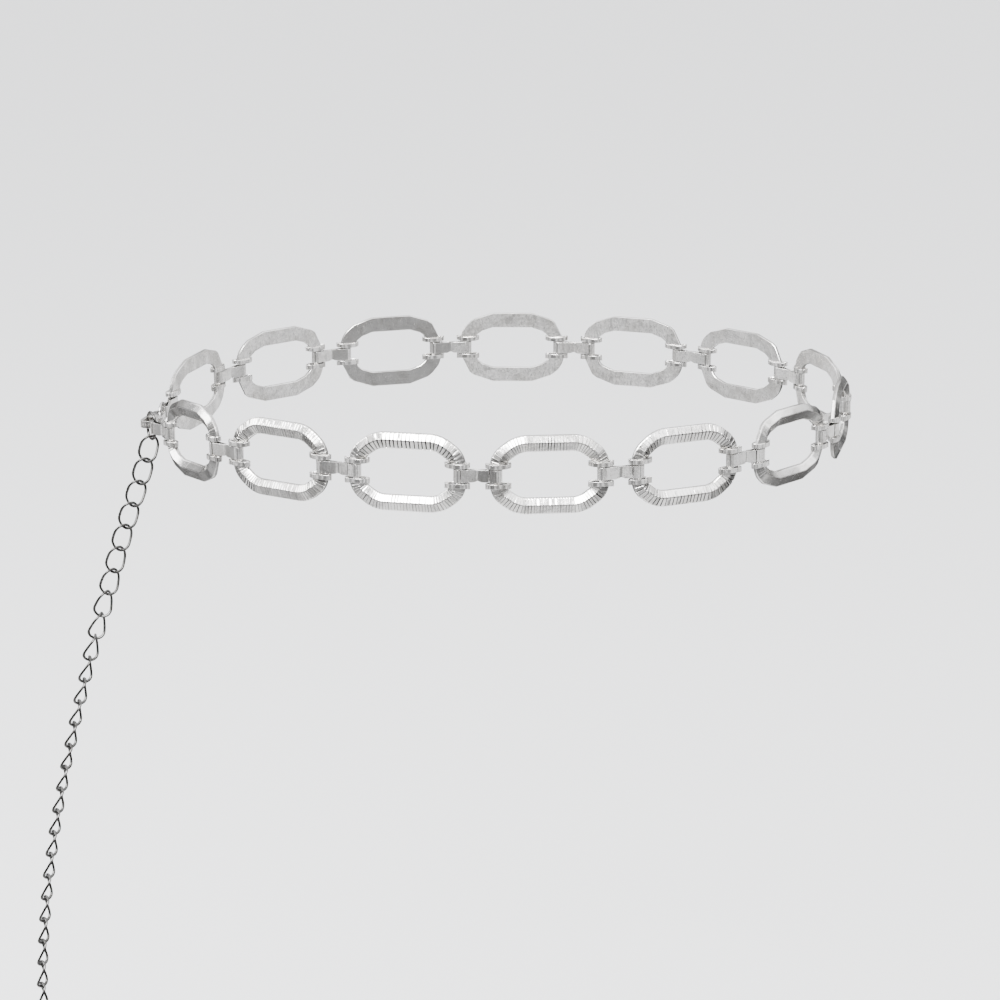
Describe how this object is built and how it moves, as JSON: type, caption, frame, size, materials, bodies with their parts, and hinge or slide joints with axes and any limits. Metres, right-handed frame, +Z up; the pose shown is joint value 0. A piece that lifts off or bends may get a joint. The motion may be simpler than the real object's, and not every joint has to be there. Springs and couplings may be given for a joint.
{
  "type": "waist chain",
  "caption": "Silver-tone waist chain of large octagonal links joined by pinched straps, closed by a claw clasp, with a hanging curb extension chain.",
  "frame": {"origin": "middle of the waist loop, at the height of the large links' middle, where the wearer's waist goes through", "axes": "+Z up along the wearer's body, -Y out of the wearer's front, -X toward the closure and the hanging chain at the wearer's right"},
  "size_m": [0.2907, 0.205, 0.2417],
  "materials": {
    "cast_links": "polished silver plate on cast links, fluted on four of them",
    "sheet_straps": "polished silver plate on pinched sheet",
    "clasp": "polished silver plate on a casting",
    "jump_ring": "polished silver plate on round wire",
    "curb_chain": "polished silver plate on twisted wire"
  },
  "bodies": {
    "root": {"link_01": "cast_links", "link_02": "cast_links", "link_03": "cast_links", "link_04": "cast_links", "link_05": "cast_links", "link_06": "cast_links", "link_07": "cast_links", "link_08": "cast_links", "link_09": "cast_links", "link_10": "cast_links", "link_11": "cast_links", "link_12": "cast_links", "link_13": "cast_links", "link_14": "cast_links", "strap_01": "sheet_straps", "strap_02": "sheet_straps", "strap_03": "sheet_straps", "strap_04": "sheet_straps", "strap_05": "sheet_straps", "strap_06": "sheet_straps", "strap_07": "sheet_straps", "strap_08": "sheet_straps", "strap_09": "sheet_straps", "strap_10": "sheet_straps", "strap_11": "sheet_straps", "strap_12": "sheet_straps", "strap_13": "sheet_straps", "strap_14": "sheet_straps", "strap_15": "sheet_straps", "clasp": "clasp", "jump_ring": "jump_ring", "extender_chain": "curb_chain"}
  },
  "joints": []
}
